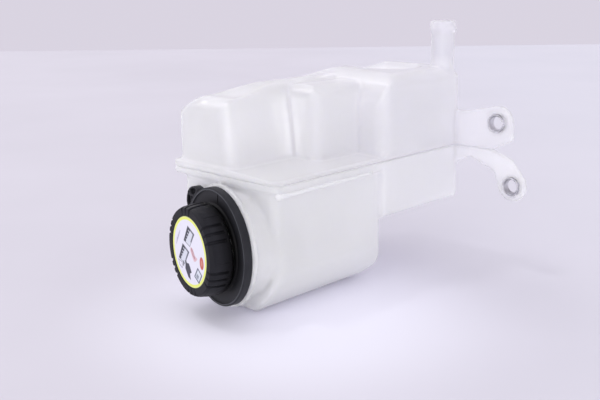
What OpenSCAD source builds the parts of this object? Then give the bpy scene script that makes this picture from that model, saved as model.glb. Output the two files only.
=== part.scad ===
// Coolant expansion tank lying on its deep chamber, filler cap to the left.
// X runs along the tank from the filler end wall (x = 0) to the foot end, Z is up from the base.
// The near side faces -Y. The filler neck leaves the end wall turned a little to the far side.
// Places are given from the point on the base below the neck's start. place() then moves the
// origin to the middle of the flat that the tank stands on.
// Inside on_neck() +Z points out of the neck, +X points up and z = 0 is the end wall.

/* [Tank] */
// Length from the filler end wall to the foot end wall
tank_len = 194; // [188:1:215]
// Neck line to the near side of the tall block and the welded edge
near_side = 42; // [40:1:46]
// Neck line to the far side of the upper half
far_side = 57.5; // [56:0.5:65]
// Neck line to the far side of the lower half
deep_far = 53; // [50:1:54]
// Length of the deep chamber
deep_len = 111; // [106:1:116]
// Radius of the deep chamber's round belly
belly_r = 48; // [47.5:0.5:52]
// Width of the flat that the tank stands on
base_flat = 38; // [30:1:44]
// Height of the welded seam
seam_z = 90; // [87:1:96]
// Height of the shallow foot end's underside
step_z = 49; // [40:1:56]
// Wall thickness
wall = 3; // [2.4:0.1:3.6]
// How far the welded edge stands out of the walls
seam_out = 3; // [2:0.1:4]
// Thickness of the lower half's welded edge
seam_low = 4; // [3:0.1:5]
// Thickness of the upper half's welded edge
seam_high = 5; // [4:0.1:6]
// Drop of the drip lip under the near welded edge
lip_drop = 2; // [1:0.1:3]

/* [Upper blocks] */
// Top of the narrow block
narrow_top = 147; // [143:1:150]
// How much lower the narrow block starts at the filler end
narrow_rise = 8; // [4:0.5:10]
// Drop of the narrow block's far shoulder
narrow_drop = 22; // [18:1:25]
// Neck line to the near wall of the narrow block at its top, to the far side
narrow_near = 7.5; // [6:0.5:9]
// Slant of the narrow block's near wall, in degrees
narrow_slant = 7; // [4:0.5:9]
// Start of the middle block
mid_x = 58; // [50:1:64]
// Neck line to the near wall of the middle block
mid_near = 19; // [14:1:24]
// Set of the middle block's far shoulder behind the far side
mid_set = 16; // [12:1:20]
// Top of the middle block
mid_top = 145; // [142:0.5:147]
// Start of the tall block
tall_x = 101; // [96:1:103]
// Top of the tall block
tall_top = 150.5; // [147:0.5:156]
// Radius of the tall block's top edge over the middle block
tall_round = 24; // [18:1:28]
// Drop of the far shoulder of the middle and tall blocks
shoulder_drop = 14; // [11:1:17]
// Width of the far shoulder
shoulder_w = 38; // [34:1:42]
// Fall of the deck beside the narrow block to its near edge
deck_fall = 2; // [1:0.1:2.5]
// Lean of the foot end wall at its top
end_lean = 8; // [5:0.5:9]
// Height over the base where the foot end wall starts to lean
lean_z = 116; // [112:1:124]
// Width of the shallow valley across the tall block
valley_w = 54; // [44:1:56]
// Depth of the shallow valley
valley_d = 9; // [7:0.5:10]
// Foot end wall to the middle of the valley
valley_end = 37; // [34:1:40]

/* [Baffles] */
// First baffle along the tank
baffle_x = 30; // [24:1:36]
// Distance from one baffle to the next
baffle_pitch = 36; // [30:1:38]
// Number of baffles
baffle_count = 2; // [1:1:2]
// Thickness of a baffle
baffle_t = 2; // [1.6:0.1:2.6]
// Height of the drain gap under a baffle
baffle_gap = 12; // [8:1:20]
// Height of a baffle
baffle_h = 52; // [40:1:60]
// Width of the pass-through in the middle of a baffle
baffle_pass = 34; // [24:1:40]

/* [Hose spigot] */
// Foot end wall to the spigot axis
spigot_end = 13; // [12:0.5:18]
// Neck line to the spigot axis, to the near side
spigot_near = 32; // [28:0.5:34]
// Outer diameter of the spigot
spigot_d = 17.4; // [16:0.1:18.5]
// Outer diameter over the barb
barb_d = 19.6; // [18.8:0.1:21]
// Bore of the spigot
spigot_bore = 13; // [11:0.1:14]
// Height of the spigot over the tall block
spigot_h = 32; // [26:1:38]
// Length of the barb's straight land
barb_land = 3; // [2:0.5:4]
// Length of the barb's cone
barb_h = 5; // [4:0.5:6]

/* [Fixing ears] */
// Set of the ear plate's face behind the foot end wall
ear_set = 7; // [6:0.5:7.5]
// Thickness of the ear plate
ear_t = 5.6; // [4.6:0.1:7]
// Neck line to the upper sleeve, to the near side
upper_ear_y = 76.3; // [72:0.1:84]
// Height of the upper sleeve
upper_ear_z = 109.8; // [107:0.1:114]
// Outer radius of the upper ear
upper_ear_r = 12.5; // [10.5:0.1:13.5]
// Neck line to the lower sleeve, to the near side
lower_ear_y = 90.9; // [87:0.1:96]
// Height of the lower sleeve
lower_ear_z = 65; // [61:0.1:67]
// Outer radius of the lower ear
lower_ear_r = 11; // [9.5:0.1:12]
// Outer diameter of a sleeve
sleeve_d = 13; // [12:0.1:14]
// Bore of a sleeve
sleeve_bore = 10; // [8.5:0.1:10.6]
// Length of a sleeve
sleeve_len = 6.6; // [6.2:0.1:8.5]

/* [Neck] */
// Height of the neck over the base
neck_z = 46; // [44:0.5:50]
// Turn of the neck to the far side, in degrees
neck_yaw = 12; // [8:0.5:14]
// Outer radius of the neck's foot
foot_r = 36.5; // [34:0.5:37.5]
// Length of the neck's foot from the end wall
foot_len = 9.6; // [9:0.1:10.4]
// Outer radius of the flange on the neck's foot
flange_r = 40.5; // [39.5:0.1:41.5]
// Thickness of the flange on the neck's foot
flange_t = 3.5; // [2.5:0.1:4]
// Outer radius of the neck tube
neck_r = 24.5; // [24:0.1:25.5]
// Bore radius of the neck tube
neck_bore = 21; // [20.5:0.1:21.5]
// Distance from the end wall to the neck's rim
neck_rim = 25.5; // [25:0.1:26.4]

/* [Collar] */
// Outer radius of the collar
collar_r = 39; // [37.5:0.5:39]
// Thickness of the collar's rim
collar_t = 5.6; // [4.6:0.1:6]
// Depth of the recess in the collar's face
collar_recess = 0.9; // [0.6:0.1:1.6]
// Width of the collar's raised edge
collar_edge = 1.4; // [1.2:0.1:3]
// Outer radius of the collar's hub
hub_r = 29; // [28.5:0.1:30]
// Rise of the hub over the collar's face
hub_rise = 0.6; // [0.3:0.1:1]
// Reach of the lug beyond the rim
lug_reach = 8; // [6:0.5:9]
// Width of the lug's round end
lug_w = 23; // [20:0.5:25]
// Angle between the lug's ribs and its middle line, in degrees
lug_cross = 40; // [30:1:50]
// Thickness of the lug's ribs
lug_rib = 1.4; // [1:0.1:1.8]
// Turn of the lug from the top to the far side, in degrees
lug_turn = 48; // [40:1:55]

/* [Cap] */
// Grip radius at the knob's skirt
knob_r = 30.2; // [29.8:0.1:33]
// Radius at the knob's front lip
lip_r = 28.8; // [28.2:0.1:29.2]
// Distance from the end wall to the knob's skirt
knob_back = 18.4; // [17:0.1:19.5]
// Distance from the knob's skirt to its front lip
knob_h = 15.4; // [15:0.1:17]
// Number of groove groups round the knob
grip_groups = 6; // [4:1:8]
// Grooves in a group
grip_grooves = 3; // [2:1:4]
// Angle between the grooves of a group, in degrees
groove_step = 10.4; // [8:0.2:12]
// Turn of the first group from the top, in degrees
grip_turn = 5; // [0:1:30]
// Depth of a groove under the front lip's edge
groove_in = 0.3; // [0.1:0.1:0.6]
// Radius of a groove
groove_r = 1.1; // [0.8:0.1:1.3]
// Radius of the label disc
label_r = 23.5; // [22:0.1:24.5]
// Thickness of the label disc
label_t = 0.8; // [0.5:0.1:1]
// Depth of the label under the front lip
label_deep = 0.3; // [0.2:0.1:0.6]
// Radial wall of the screw body
screw_wall = 2.2; // [1.8:0.1:2.6]
// Thickness of the screw body's plate
plate_t = 1.4; // [1.1:0.1:1.5]
// Bite of the clip into the housing's boss
clip_bite = 0.8; // [0.5:0.1:1.2]

/* [Valves] */
// Foot of the valve housing from the end wall
housing_foot = 6; // [4:0.5:8]
// Clearance round the valve housing in the neck
housing_gap = 0.7; // [0.6:0.1:1]
// Wall of the valve housing
housing_wall = 3.2; // [3:0.1:3.6]
// Thickness of the seat under the pressure valve
floor_t = 1.6; // [1.2:0.1:2]
// Thickness of the housing's rim
rim_t = 1.4; // [1:0.1:1.6]
// Thickness of the neck gasket
gasket_t = 1; // [0.8:0.1:1.4]
// Gap that a seal keeps from its seat
seat_gap = 0.1; // [0.05:0.01:0.15]
// Section radius of an O-ring
oring_r = 1.2; // [1:0.1:1.3]
// Distance from the end wall to the outer O-ring
outer_ring_z = 20; // [18.5:0.1:21]
// Distance from the end wall to the inner O-ring
inner_ring_z = 12.5; // [12:0.1:13.5]
// Distance from the end wall to the housing's vent holes
vent_z = 16.2; // [15.8:0.1:16.6]
// Radius of a vent hole
vent_r = 1.5; // [1:0.1:1.8]
// Radius of the pressure valve disc
disc_r = 12; // [11:0.1:13]
// Thickness of the pressure valve disc
disc_t = 1.6; // [1.2:0.1:2]
// Thickness of a valve seal
seal_t = 0.9; // [0.7:0.1:1.2]
// Radius of the opening under the pressure valve
seat_r = 9; // [8:0.1:9.6]
// Mean radius of the pressure spring
spring_r = 9.5; // [9.2:0.1:10.2]
// Wire radius of the pressure spring
spring_wire = 0.8; // [0.6:0.05:0.9]
// Turns of the pressure spring
spring_turns = 5; // [4:1:6]
// Thickness of the spring retainer
retainer_t = 1.6; // [1.2:0.1:2]
// Radius of the vacuum valve's hole
vac_r = 3.4; // [3:0.1:3.8]
// Radius of the vacuum valve's stem
stem_r = 1.4; // [1.2:0.1:1.6]
// Radius of the vacuum valve's plate
vac_plate_r = 5.2; // [4.8:0.1:5.6]
// Mean radius of the vacuum spring
vac_spring_r = 3.2; // [3:0.1:3.4]
// Wire radius of the vacuum spring
vac_wire = 0.3; // [0.25:0.05:0.4]
// Turns of the vacuum spring
vac_turns = 4; // [3:1:5]
// Length of the vacuum spring
vac_len = 5; // [4.5:0.1:5.5]
// Thickness of the vacuum valve's plate
vac_t = 0.8; // [0.6:0.1:1]
// Thickness of the vacuum spring's washer
washer_t = 0.8; // [0.6:0.1:1.2]
// Height of the valve cage
cage_h = 6; // [5.4:0.1:7]

/* [Hidden] */

milky = [0.90, 0.92, 0.95, 0.6];
black = [0.07, 0.07, 0.08];
steel = [0.70, 0.71, 0.73];
through = 1;
run_gap = 0.3;
fit_gap = 0.05;

// Walls, seam and belly
near_y = -near_side;
deep_near = near_y + seam_out;
belly_y = (deep_far + deep_near) / 2;
base_x = deep_len / 2;
belly_z = sqrt(belly_r * belly_r - base_flat * base_flat / 4);
overlap = 12;

// The ear plate stands across the foot end wall
spigot_x = tank_len - spigot_end;
valley_x = tank_len - valley_end;
ear_x = tank_len - ear_set;
sleeve_x = ear_x + (ear_t - sleeve_len) / 2;

// Stations along the neck, counted from the end wall
foot_deep = foot_r * sin(neck_yaw) + wall / 2;
collar_front = foot_len + collar_t;
rim_z = neck_rim + gasket_t;
housing_top = rim_z + rim_t;
plate_z = housing_top + run_gap;
plate_top = plate_z + plate_t;
boss_r = 5;
clip_r = 8;
clip_z = plate_top + run_gap;
clip_t = 0.8;
pocket_top = clip_z + clip_t + run_gap;
knob_front = knob_back + knob_h;
label_z = knob_front - label_deep - label_t;
screw_in = neck_r + run_gap;
screw_r = screw_in + screw_wall;
housing_r = neck_bore - housing_gap;
housing_in = housing_r - housing_wall;
ring_mid = neck_bore - fit_gap - oring_r;
seal_z = housing_foot + floor_t;
disc_z = seal_z + seal_t;
spring_z = disc_z + disc_t;
retainer_z = rim_z - retainer_t - run_gap;
vac_washer_z = spring_z + vac_len;

// Outline with round corners: every point is [a, b, corner radius]
function unit(v) = v / norm(v);
function corner_arc(a, p, b, r, n) =
    let (u = unit(a - p), v = unit(b - p), half = acos(u * v) / 2, c = p + unit(u + v) * r / sin(half),
        t0 = p + u * r / tan(half) - c, t1 = p + v * r / tan(half) - c)
    [for (i = [0 : n]) c + unit(t0 * (n - i) + t1 * i) * r];
function rounded(pts, n = 6) =
    let (m = len(pts), flat = [for (p = pts) [p[0], p[1]]])
    [for (i = [0 : m - 1]) each pts[i][2] > 0
        ? corner_arc(flat[(i + m - 1) % m], flat[i], flat[(i + 1) % m], pts[i][2], n) : [flat[i]]];

// Extrusions of an outline along X, Y and Z
module along_x(x0, x1) translate([x0, 0, 0]) rotate([90, 0, 90]) linear_extrude(x1 - x0) children();
module along_y(y0, y1) translate([0, y1, 0]) rotate([90, 0, 0]) linear_extrude(y1 - y0) children();
module along_z(z0, z1) translate([0, 0, z0]) linear_extrude(z1 - z0) children();

// Working frame, and the frame of the neck with discs and rings round its axis
module place() translate([-base_x, -belly_y, 0]) children();
module at_neck() translate([0, 0, neck_z]) rotate([0, 0, -neck_yaw]) rotate([0, -90, 0]) children();
module on_neck() place() at_neck() children();
module disc(z0, z1, r) translate([0, 0, z0]) cylinder(h = z1 - z0, r = r, $fn = 96);
module ring(z0, z1, r1, r0) difference() {
    disc(z0, z1, r1);
    disc(z0 - through, z1 + through, r0);
}

// Block of the upper half: crowned top, far shoulder, a near wall that may slant and a foot end that may lean
module block(x0, x1, y0, y1, z0, top, drop, rise, slant, lean, edge, lead) {
    x_mid = x1 - lean;
    crown_y = y1 - min(shoulder_w, (y1 - y0) * 0.66);
    near_top = top - 1.5;
    foot_y = y0 - (near_top - z0) * tan(slant);
    depth = 2 * (y1 - foot_y);
    intersection() {
        along_x(x0, x1) polygon(rounded([[foot_y, z0, 0], [y0, near_top, edge], [crown_y, top, 25],
            [y1, top - drop, 12], [y1, z0, 0]]));
        translate([0, y0, near_top]) rotate([-slant, 0, 0]) along_z(-2 * (top - z0), 2 * edge)
            polygon(rounded([[x0, 0, edge], [x0, depth, 0], [x1, depth, 0], [x1, 0, edge]]));
        along_z(z0, top + through) polygon(rounded([[x0, y1 - depth, 0], [x0, y1, edge], [x1, y1, edge],
            [x1, y1 - depth, 0]]));
        along_y(foot_y - through, y1 + through) polygon(rounded([[x0, z0, 0], [x0, top - rise, lead],
            [x0 + max(16, lead + 2), top - rise + 0.5, rise > 0 ? 30 : 0], [x0 + 50, top, rise > 0 ? 40 : 0],
            [x_mid, top + 0.5, edge], [x1, lean > 0 ? lean_z : top - 3 * edge, lean > 0 ? 30 : 0],
            [x1, z0, 0]]));
    }
}
module upper_form(inset, z0) {
    edge = 9 - inset;
    far = far_side - inset;
    block(inset, tall_x + overlap, narrow_near + inset, far, z0, narrow_top - inset, narrow_drop,
        narrow_rise, narrow_slant, 0, edge, edge);
    block(mid_x + inset, tall_x + 2 * overlap, -mid_near + inset, far - mid_set, z0, mid_top - inset,
        shoulder_drop, 0, 0, 0, edge, edge);
    block(tall_x + inset, tank_len - inset, near_y + inset, far, z0, tall_top - inset,
        shoulder_drop, 0, 0, end_lean, edge, tall_round - inset);
}
module valley(extra) {
    r = (valley_w * valley_w / 4 + valley_d * valley_d) / (2 * valley_d);
    translate([valley_x, 0, tall_top + r - valley_d]) {
        rotate([-90, 0, 0]) cylinder(h = far_side + through, r = r + extra, $fn = 48);
        sphere(r = r + extra, $fn = 48);
    }
}

// Deep chamber with its round belly, and the shallow foot beside it
module deep_form(inset, z1) {
    x1 = deep_len - inset;
    y0 = deep_near + inset;
    y1 = deep_far - inset;
    intersection() {
        union() {
            translate([inset, belly_y, belly_z]) rotate([0, 90, 0])
                cylinder(h = x1 - inset, r = belly_r - inset, $fn = 96);
            translate([inset, y0, belly_z]) cube([x1 - inset, y1 - y0, z1 - belly_z]);
        }
        along_z(inset, z1) polygon(rounded([[inset, y0, 8 - inset], [inset, y1, 8 - inset],
            [x1, y1, 16 - inset], [x1, y0, 16 - inset]]));
        along_y(y0 - through, y1 + through) polygon(rounded([[inset, inset, 8 - inset], [inset, z1, 0],
            [x1, z1, 0], [x1, inset, 18 - inset]]));
    }
}
module foot_form(inset, z1) {
    x0 = tall_x + inset;
    x1 = tank_len - inset;
    intersection() {
        along_x(x0, x1) polygon(rounded([[near_y + inset, step_z + inset, 5], [near_y + inset, z1, 0],
            [deep_far - inset, z1, 0], [deep_far - inset, step_z + inset, 9]]));
        along_z(step_z, z1) polygon(rounded([[x0, near_y + inset, 4], [x0, deep_far - inset, 4],
            [x1, deep_far - inset, 7], [x1, near_y + inset, 7]]));
    }
}
module seam_outline() polygon(rounded([[-seam_out, near_y, 7], [-seam_out, far_side + seam_out, 7],
    [tank_len + seam_out, far_side + seam_out, 9], [tank_len + seam_out, near_y, 6]]));

module ear_bore(y, z) translate([ear_x - through, -y, z]) rotate([0, 90, 0])
    cylinder(h = ear_t + 2 * through, d = sleeve_d, $fn = 64);
module ear_end(y, z, r) translate([ear_x, -y, z]) rotate([0, 90, 0]) cylinder(h = ear_t, r = r, $fn = 64);
module lower_ear() {
    root = near_y + 14;
    along_x(ear_x, ear_x + ear_t) polygon([[root, seam_z], [near_y - 31, seam_z],
        [-lower_ear_y + 2, lower_ear_z + lower_ear_r * 1.75],
        [-lower_ear_y - lower_ear_r * 0.72, lower_ear_z + lower_ear_r * 0.7],
        [-lower_ear_y + lower_ear_r * 0.9, lower_ear_z - lower_ear_r * 0.45], [near_y - 34, lower_ear_z + 9],
        [near_y - 12, seam_z - 7], [near_y, seam_z - 13], [root, seam_z - 30]]);
    ear_end(lower_ear_y, lower_ear_z, lower_ear_r);
}
module upper_ear() {
    root = near_y + 18;
    along_x(ear_x, ear_x + ear_t) polygon([[root, seam_z], [root, upper_ear_z + 6],
        [near_y - 8, upper_ear_z + 6.5], [-upper_ear_y, upper_ear_z + upper_ear_r],
        [-upper_ear_y - upper_ear_r, upper_ear_z], [-upper_ear_y - upper_ear_r, seam_z + 8],
        [near_y - 31, seam_z]]);
    ear_end(upper_ear_y, upper_ear_z, upper_ear_r);
}

module baffles() {
    for (i = [0 : baffle_count - 1]) {
        x = baffle_x + i * baffle_pitch;
        intersection() {
            deep_form(wall / 2, seam_z);
            translate([x, 0, 0]) difference() {
                translate([0, deep_near, baffle_gap + wall]) cube([baffle_t, deep_far - deep_near, baffle_h]);
                translate([-through, belly_y - baffle_pass / 2, 0])
                    cube([baffle_t + 2 * through, baffle_pass, seam_z]);
            }
        }
    }
}

module tank_lower() {
    color(milky) place() difference() {
        union() {
            difference() {
                union() {
                    deep_form(0, seam_z);
                    foot_form(0, seam_z);
                    along_z(seam_z - seam_low, seam_z) seam_outline();
                    translate([0, near_y, seam_z - seam_low - lip_drop])
                        cube([tall_x + 1, seam_out, lip_drop + through]);
                    lower_ear();
                    at_neck() disc(-foot_deep, foot_len, foot_r);
                    at_neck() disc(foot_len - flange_t, foot_len, flange_r);
                }
                deep_form(wall, seam_z + through);
                foot_form(wall, seam_z + through);
                at_neck() disc(-foot_deep - through, foot_len - wall, foot_r - wall);
            }
            at_neck() disc(foot_len - wall, neck_rim, neck_r);
            baffles();
        }
        at_neck() disc(0, neck_rim + through, neck_bore);
        ear_bore(lower_ear_y, lower_ear_z);
    }
}

module tank_upper() {
    deck_x = tall_x + wall;
    deck_y = narrow_near + wall;
    color(milky) place() difference() {
        union() {
            difference() {
                upper_form(0, seam_z);
                valley(0);
            }
            difference() {
                along_z(seam_z, seam_z + seam_high) seam_outline();
                translate([-seam_out - through, near_y - through, seam_z - through])
                    cube([tall_x + seam_out + through, deck_y - near_y, seam_high + 2 * through]);
            }
            intersection() {
                along_z(seam_z, seam_z + seam_high) seam_outline();
                along_x(-seam_out, deck_x) polygon([[near_y, seam_z],
                    [near_y, seam_z + seam_high - deck_fall], [narrow_near, seam_z + seam_high],
                    [deck_y, seam_z + seam_high], [deck_y, seam_z]]);
            }
            upper_ear();
            translate([spigot_x, -spigot_near, lean_z])
                cylinder(h = tall_top + spigot_h - lean_z, d = spigot_d, $fn = 64);
            translate([spigot_x, -spigot_near, tall_top + spigot_h - barb_h]) {
                cylinder(h = barb_h, d1 = barb_d, d2 = spigot_d, $fn = 64);
                translate([0, 0, -barb_land]) cylinder(h = barb_land, d = barb_d, $fn = 64);
            }
        }
        difference() {
            upper_form(wall, seam_z - through);
            valley(wall);
        }
        translate([spigot_x, -spigot_near, lean_z + wall])
            cylinder(h = tall_top + spigot_h - lean_z, d = spigot_bore, $fn = 64);
        ear_bore(upper_ear_y, upper_ear_z);
    }
}

module sleeve(y, z) {
    color(steel) place() translate([sleeve_x, -y, z]) rotate([0, 90, 0]) difference() {
        cylinder(h = sleeve_len, d = sleeve_d, $fn = 64);
        translate([0, 0, -through]) cylinder(h = sleeve_len + 2 * through, d = sleeve_bore, $fn = 64);
    }
}
module sleeve_upper() sleeve(upper_ear_y, upper_ear_z);
module sleeve_lower() sleeve(lower_ear_y, lower_ear_z);

// Lug with a round end: pockets between crossed ribs
module lug() {
    base = collar_r - collar_edge / 2;
    end_x = collar_r + lug_reach - lug_w / 2;
    difference() {
        intersection() {
            translate([end_x, 0, foot_len]) cylinder(h = collar_t, d = lug_w, $fn = 64);
            translate([base, -lug_w / 2, foot_len]) cube([lug_reach + collar_edge, lug_w, collar_t]);
        }
        translate([0, 0, foot_len + collar_t / 2]) linear_extrude(collar_t) difference() {
            intersection() {
                translate([end_x, 0]) circle(d = lug_w - 2 * lug_rib, $fn = 64);
                translate([collar_r + lug_rib / 2, -lug_w / 2]) square([lug_reach, lug_w]);
            }
            for (s = [-1, 1]) translate([collar_r + lug_reach / 2, 0]) rotate(s * lug_cross)
                square([2 * lug_w, lug_rib], center = true);
        }
    }
}
module collar() {
    hub_in = neck_r + fit_gap;
    color(black) on_neck() {
        rotate_extrude($fn = 128) polygon([[hub_in, foot_len], [collar_r - 0.8, foot_len],
            [collar_r, foot_len + 0.8], [collar_r, collar_front - 0.5], [collar_r - 0.5, collar_front],
            [collar_r - collar_edge, collar_front],
            [collar_r - collar_edge - 0.4, collar_front - collar_recess],
            [hub_r, collar_front - collar_recess], [hub_r - 0.6, collar_front + hub_rise],
            [hub_in, collar_front + hub_rise]]);
        rotate([0, 0, lug_turn]) lug();
    }
}

module knob() {
    inner = screw_r + fit_gap;
    color(black) on_neck() difference() {
        rotate_extrude($fn = 120) polygon([[inner, knob_back], [knob_r - 0.6, knob_back],
            [knob_r, knob_back + 0.8], [knob_r, knob_back + knob_h * 0.5], [lip_r + 0.7, knob_front - 1.4],
            [lip_r, knob_front - 0.4], [lip_r - 0.6, knob_front], [label_r + fit_gap + 0.3, knob_front],
            [label_r + fit_gap, knob_front - 0.2], [label_r + fit_gap, label_z], [0, label_z],
            [0, pocket_top], [clip_r + run_gap, pocket_top], [clip_r + run_gap, plate_top],
            [inner, plate_top]]);
        for (g = [0 : grip_groups - 1]) for (k = [0 : grip_grooves - 1])
            rotate([0, 0, grip_turn + g * 360 / grip_groups + (k - (grip_grooves - 1) / 2) * groove_step])
                translate([lip_r - groove_in + groove_r, 0, knob_back - through])
                    cylinder(h = knob_h + 2 * through, r = groove_r, $fn = 16);
    }
}

module label_disc() color([0.92, 0.93, 0.86]) on_neck() disc(label_z, label_z + label_t, label_r);

module screw_body() {
    color(black) on_neck() rotate_extrude($fn = 96) polygon([[screw_in, knob_back + 0.6],
        [screw_r, knob_back + 0.6], [screw_r, plate_top], [boss_r + fit_gap, plate_top],
        [boss_r + fit_gap, plate_z], [screw_in, plate_z]]);
}

module housing_clip() color(steel) on_neck() ring(clip_z, clip_z + clip_t, clip_r, boss_r - clip_bite);

module groove_cut(z) ring(z - oring_r, z + oring_r, housing_r + through, ring_mid - oring_r);
module valve_housing() {
    color([0.13, 0.13, 0.14]) on_neck() difference() {
        union() {
            disc(housing_foot, rim_z + through / 2, housing_r);
            disc(rim_z, housing_top, neck_r - 0.3);
            disc(housing_top - through, clip_z + clip_t, boss_r);
        }
        disc(housing_foot - through, retainer_z + retainer_t, housing_in);
        ring(clip_z, clip_z + clip_t + through, clip_r, boss_r - clip_bite);
        groove_cut(outer_ring_z);
        groove_cut(inner_ring_z);
        for (a = [0 : 90 : 270]) rotate([0, 0, a + 45]) translate([housing_in - 3, 0, vent_z])
            rotate([0, 90, 0]) cylinder(h = 12, r = vent_r, $fn = 24);
    }
}
module neck_gasket() color([0.05, 0.05, 0.05]) on_neck()
    ring(neck_rim + seat_gap, rim_z, neck_r - 0.5, housing_r + fit_gap);

module o_ring(z) color([0.05, 0.05, 0.05]) on_neck() translate([0, 0, z])
    rotate_extrude($fn = 96) translate([ring_mid, 0]) circle(r = oring_r - 0.02, $fn = 20);
module ring_outer() o_ring(outer_ring_z);
module ring_inner() o_ring(inner_ring_z);

module pressure_disc() {
    color([0.80, 0.80, 0.78]) on_neck() difference() {
        union() {
            disc(disc_z, spring_z, disc_r);
            ring(disc_z, spring_z + 1.2, spring_r - spring_wire - 0.4, vac_spring_r + 1.6);
        }
        disc(disc_z - through, spring_z + 2 * through, vac_r);
    }
    color([0.80, 0.80, 0.78]) on_neck() difference() {
        for (a = [0, 90]) rotate([0, 0, a]) translate([-vac_r - 0.4, -0.7, disc_z])
            cube([2 * vac_r + 0.8, 1.4, disc_t]);
        disc(disc_z - through, spring_z + through, stem_r + run_gap);
    }
}
module pressure_seal() color([0.05, 0.05, 0.05]) on_neck()
    ring(seal_z + seat_gap, disc_z, disc_r, vac_r + 0.5);

// Coil of round wire swept up the neck's axis, with closely wound end turns
function coil_rise(turn, turns, close, h) =
    turn < 1 ? turn * close : turn > turns + 1 ? h - (turns + 2 - turn) * close
    : close + (turn - 1) * (h - 2 * close) / turns;
module coil(r, wire, z0, z1, turns, sides = 6, steps = 14) {
    n = (turns + 2) * steps;
    h = z1 - z0 - 2 * wire;
    path = [for (i = [0 : n]) let (a = 360 * i / steps)
        [r * cos(a), r * sin(a), z0 + wire + coil_rise(i / steps, turns, 2.3 * wire, h)]];
    points = [for (p = path) let (out = unit([p[0], p[1], 0])) for (k = [0 : sides - 1])
        p + out * wire * cos(360 * k / sides) + [0, 0, wire * sin(360 * k / sides)]];
    faces = concat([[for (k = [0 : sides - 1]) k]], [[for (k = [sides - 1 : -1 : 0]) n * sides + k]],
        [for (i = [0 : n - 1]) for (k = [0 : sides - 1])
            let (a = i * sides + k, b = i * sides + (k + 1) % sides)
            each [[a, a + sides, b], [b, a + sides, b + sides]]]);
    polyhedron(points, faces);
}
module pressure_spring() color([0.75, 0.75, 0.77]) on_neck()
    coil(spring_r, spring_wire, spring_z, retainer_z, spring_turns);
module spring_retainer() color([0.2, 0.2, 0.21]) on_neck() difference() {
    disc(retainer_z, retainer_z + retainer_t, housing_in - fit_gap);
    disc(retainer_z - through, retainer_z + retainer_t + through, vac_spring_r + 2);
    for (a = [0 : 60 : 300]) rotate([0, 0, a])
        translate([(housing_in + vac_spring_r) / 2 + 1, 0, retainer_z - through])
            cylinder(h = retainer_t + 2 * through, r = 2.2, $fn = 24);
}

module vacuum_stem() color([0.85, 0.84, 0.80]) on_neck() {
    disc(seal_z - vac_t - seal_t, seal_z - seal_t, vac_plate_r);
    disc(seal_z - seal_t - 0.1, vac_washer_z + washer_t + 0.8, stem_r);
}
module vacuum_seal() color([0.05, 0.05, 0.05]) on_neck()
    ring(seal_z - seal_t, seal_z - seat_gap, vac_plate_r - 0.2, stem_r + fit_gap);
module vacuum_spring() color([0.75, 0.75, 0.77]) on_neck()
    coil(vac_spring_r, vac_wire, spring_z, vac_washer_z, vac_turns);
module vacuum_washer() color(steel) on_neck()
    ring(vac_washer_z, vac_washer_z + washer_t, vac_spring_r + 0.6, stem_r);

module valve_cage() {
    cage_bottom = housing_foot - cage_h;
    color([0.13, 0.13, 0.14]) on_neck() difference() {
        union() {
            disc(cage_bottom, housing_foot + through / 2, seat_r + 3);
            disc(housing_foot, seal_z, housing_in - fit_gap);
        }
        disc(cage_bottom + 1.2, seal_z + through, seat_r);
        for (a = [0 : 45 : 315]) rotate([0, 0, a]) translate([seat_r * 0.62, -1.2, cage_bottom - through])
            cube([seat_r, 2.4, cage_h - 0.4]);
        disc(cage_bottom - through, cage_bottom + 2, 2);
    }
}

tank_lower();
tank_upper();
sleeve_upper();
sleeve_lower();
collar();
knob();
label_disc();
screw_body();
housing_clip();
valve_housing();
neck_gasket();
ring_outer();
ring_inner();
pressure_disc();
pressure_seal();
pressure_spring();
spring_retainer();
vacuum_stem();
vacuum_seal();
vacuum_spring();
vacuum_washer();
valve_cage();
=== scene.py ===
"""Looks of the coolant expansion tank: milky moulded shell, black cap and collar, steel sleeves."""
import math

import bmesh
import bpy
import numpy as np
from mathutils import Matrix


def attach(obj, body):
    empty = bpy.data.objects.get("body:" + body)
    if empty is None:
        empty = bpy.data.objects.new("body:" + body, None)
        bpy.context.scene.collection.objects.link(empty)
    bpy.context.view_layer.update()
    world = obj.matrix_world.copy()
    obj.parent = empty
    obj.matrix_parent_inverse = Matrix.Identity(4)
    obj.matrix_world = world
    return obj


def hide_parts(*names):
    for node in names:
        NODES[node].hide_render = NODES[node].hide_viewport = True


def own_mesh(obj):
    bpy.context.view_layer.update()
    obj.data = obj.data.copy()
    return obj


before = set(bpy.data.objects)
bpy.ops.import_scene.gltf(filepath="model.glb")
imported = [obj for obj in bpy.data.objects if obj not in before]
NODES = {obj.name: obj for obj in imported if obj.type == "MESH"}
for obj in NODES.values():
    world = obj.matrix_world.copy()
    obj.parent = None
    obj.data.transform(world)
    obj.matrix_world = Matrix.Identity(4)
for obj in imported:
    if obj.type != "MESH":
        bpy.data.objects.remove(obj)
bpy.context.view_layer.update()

MM = 0.001  # metres
FULL_TURN = 2 * math.pi

# Places and sizes of the tank, in millimetres, as in the part's source
BASE_X, BELLY_Y = 55.5, 7.0
NECK_Z, NECK_YAW = 46.0, math.radians(12)
SEAM_SIDE_Y, SEAM_LIP_Z = -44.6, 84.9  # the lip under the welded edge, on the near side
COLLAR_FACE, HUB_R = 14.28, 30.4
SLEEVE_X = 131.0
GRIP_R = 30.0


def from_neck(up, side, out):
    """Points given in millimetres along the neck's own up, side and outward directions, turned by the neck's yaw
    and put in the shared frame in metres."""
    c, s = math.cos(NECK_YAW), math.sin(NECK_YAW)
    up, side, out = np.broadcast_arrays(up, side, out)
    x = -out * c + side * s - BASE_X
    y = out * s + side * c - BELLY_Y
    return np.stack([x, y, up + NECK_Z], axis=-1) * MM


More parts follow.
